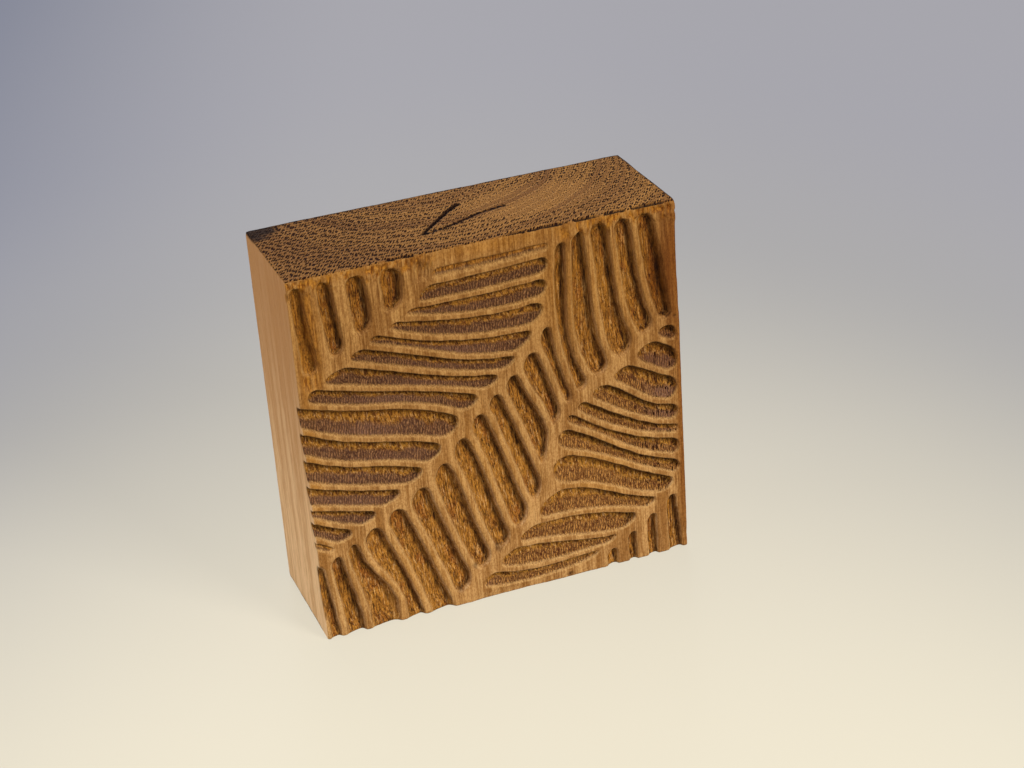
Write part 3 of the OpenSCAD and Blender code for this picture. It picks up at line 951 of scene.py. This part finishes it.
    # Loose fibres that stand out along the grain, and a fine dark grit over the whole face.
    fibrous = t.most(t.mask("fibrous"), t.ease(forward, -0.3, -0.6, 0.0, 0.35))
    strand = t.times(t.ease(texture("looseStrand"), 0.52, 0.4), fibrous)
    colour = t.blend(t.times(strand, cover["strand"]), colour, oak["strand"], "MULTIPLY")
    grit = t.times(t.ease(texture("grit"), 0.54, 0.42), t.ease(forward, -0.1, -0.5))
    colour = t.blend(t.times(grit, cover["grit"]), colour, oak["strand"], "MULTIPLY")
    # The sawn ends, with their year rings.
    ringTone = t.ease(t.plus(t.times(ring, 0.06), slowRing), 0.05, 0.85)
    sawn = t.blend(ringTone, oak["endGrainDark"], oak["endGrain"])
    sawn = t.blend(t.times(t.ease(ring, 0.7, 0.95), cover["endLine"]), sawn, oak["endLine"])
    sawn = t.blend(t.ease(x, -2, -26, 0.0, cover["endShade"]), sawn, oak["endGrainDark"])
    colour = t.blend(endFace, colour, sawn)
    # What lies over all of it: a darkening toward the top, the stain, pores, burns, pits, and
    # painted shade in the splits and cracks.
    darkerUpward = t.times(t.ease(z, 4, 56), t.ease(forward, -0.2, -0.6))
    colour = t.blend(darkerUpward, colour, oak["darkerUpward"], "MULTIPLY")
    colour = t.blend(t.mask("stain"), colour, oak["stain"], "MULTIPLY")
    colour = t.blend(pore, colour, oak["pore"])
    for key in ("burnAndSplitShade", "pit", "crack"):
        colour = t.blend(t.times(t.mask(key), cover[key]), colour, oak["charAndShade"])
    relief = t.plus(t.times(fineStreak, 0.4), t.times(t.times(fibre, cut), 0.8))
    relief = t.minus(relief, t.plus(pore, t.times(hatch, 0.5)))
    normal = t.add("Bump", Strength=oak["reliefStrength"], Distance=oak["relief"], Height=relief)
    shine = t.plus(oak["roughness"], t.times(pore, oak["poreRoughness"]))
    shader = t.add("BsdfPrincipled", Base_Color=colour, Normal=normal, Roughness=shine,
                   Specular_IOR_Level=oak["specular"])
    t.add("OutputMaterial", Surface=shader)
    return material


oakLook = oakMaterial("oak")
stampBlock.data.materials.append(oakLook)
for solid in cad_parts.values():
    solid.data.materials.clear()
    solid.data.materials.append(oakLook)
print("oak finished")

# Floor: one broad pale sheet, painted with light falloff: bright and warm near the camera, darker
# and cool far off, and darker to the left. It glows a little, as a lit sheet of white plastic does,
# and throws back less light than it shows.
floor = {
    "half": 2.5,  # metres
    "ahead": (0.33, 0.944, 0),  # the way the camera looks along the floor
    "aside": (0.944, -0.33, 0),
    "bend": 6.0,  # how much the bands of colour curve toward the camera
    "near": tone(243, 234, 211),
    "middle": tone(178, 176, 173),
    "far": tone(170, 169, 176),
    "farLeft": tone(116, 122, 143),
    "nearLeft": tone(206, 200, 188),
    "bounce": tone(150, 148, 142),
    "glow": 0.8,
    "roughness": 0.32,
    "specular": 0.25,
}


def floorMaterial():
    material = bpy.data.materials.new("pale_floor")
    t = Tree(material)
    place = t.add("TexCoord", out="Object")
    ahead, aside = (t.vector("DOT_PRODUCT", place, floor[k], "Value") for k in ("ahead", "aside"))
    reach = t.plus(ahead, t.times(t.times(aside, aside), floor["bend"]))
    # Painted light falloff: bright and warm near the camera, darker and cooler far off and to the
    # left.
    colour = t.blend(t.ease(reach, -0.07, 0.15), floor["near"], floor["middle"])
    colour = t.blend(t.ease(reach, 0.05, 0.26), colour, floor["far"])
    left = t.times(t.ease(aside, -0.02, -0.2), t.ease(ahead, -0.02, 0.2))
    colour = t.blend(left, colour, floor["farLeft"])
    corner = t.times(t.ease(aside, -0.04, -0.2, 0.0, 0.55), t.ease(ahead, 0.06, -0.06))
    colour = t.blend(corner, colour, floor["nearLeft"])
    shown = t.shown()
    plain = t.add("BsdfPrincipled", Base_Color=t.blend(shown, floor["bounce"], colour),
                  Roughness=floor["roughness"], Specular_IOR_Level=floor["specular"])
    glow = t.add("Emission", Color=colour, Strength=1.0)
    sheet = t.add("MixShader", i0=t.times(shown, floor["glow"]), i1=plain, i2=glow)
    t.add("OutputMaterial", Surface=sheet)
    return material


def makeFloor():
    mesh = bpy.data.meshes.new("floor")
    half = floor["half"]
    ends = [(-half, -half, 0), (half, -half, 0), (half, half, 0), (-half, half, 0)]
    mesh.from_pydata(ends, [], [(0, 1, 2, 3)])
    sheet = bpy.data.objects.new("floor", mesh)
    bpy.context.scene.collection.objects.link(sheet)
    mesh.materials.append(floorMaterial())


makeFloor()

# Soft lights: [place, aim, side length, power, colour], in metres and watts.
lights = {
    "key": [(0.36, -0.70, 0.46), (0, 0, 0.03), 0.3, 8.0, (1.0, 0.97, 0.92)],
    "fill": [(-0.45, -0.62, 0.12), (0, 0, 0.03), 0.4, 1.9, (1.0, 0.97, 0.93)],
    "left": [(-0.66, 0.12, 0.10), (0, 0, 0.03), 0.4, 2.8, (1.0, 0.98, 0.96)],
    "back": [(0.1, 0.75, 0.5), (0, 0, 0.03), 0.5, 1.6, (0.95, 0.97, 1.0)],
}
sky = {"strength": 0.25, "light": (0.93, 0.96, 1.0, 1.0), "shown": tone(168, 167, 174)}


def makeLights():
    for name, (place, aim, side, power, colour) in lights.items():
        data = bpy.data.lights.new(name, "AREA")
        data.size = side
        data.energy = power
        data.color = colour
        lamp = bpy.data.objects.new(name, data)
        lamp.location = place
        lamp.rotation_mode = "QUATERNION"
        lamp.rotation_quaternion = (Vector(aim) - Vector(place)).to_track_quat("-Z", "Y")
        bpy.context.scene.collection.objects.link(lamp)


def makeSky():
    world = bpy.data.worlds.new("sky")
    bpy.context.scene.world = world
    t = Tree(world)
    light = t.add("Background", Color=sky["light"], Strength=sky["strength"])
    shown = t.add("Background", Color=sky["shown"], Strength=1.0)
    t.add("OutputWorld", Surface=t.add("MixShader", i0=t.shown(), i1=light, i2=shown))


makeLights()
makeSky()
bpy.context.scene.view_settings.view_transform = "Standard"
print("floor and lights set")
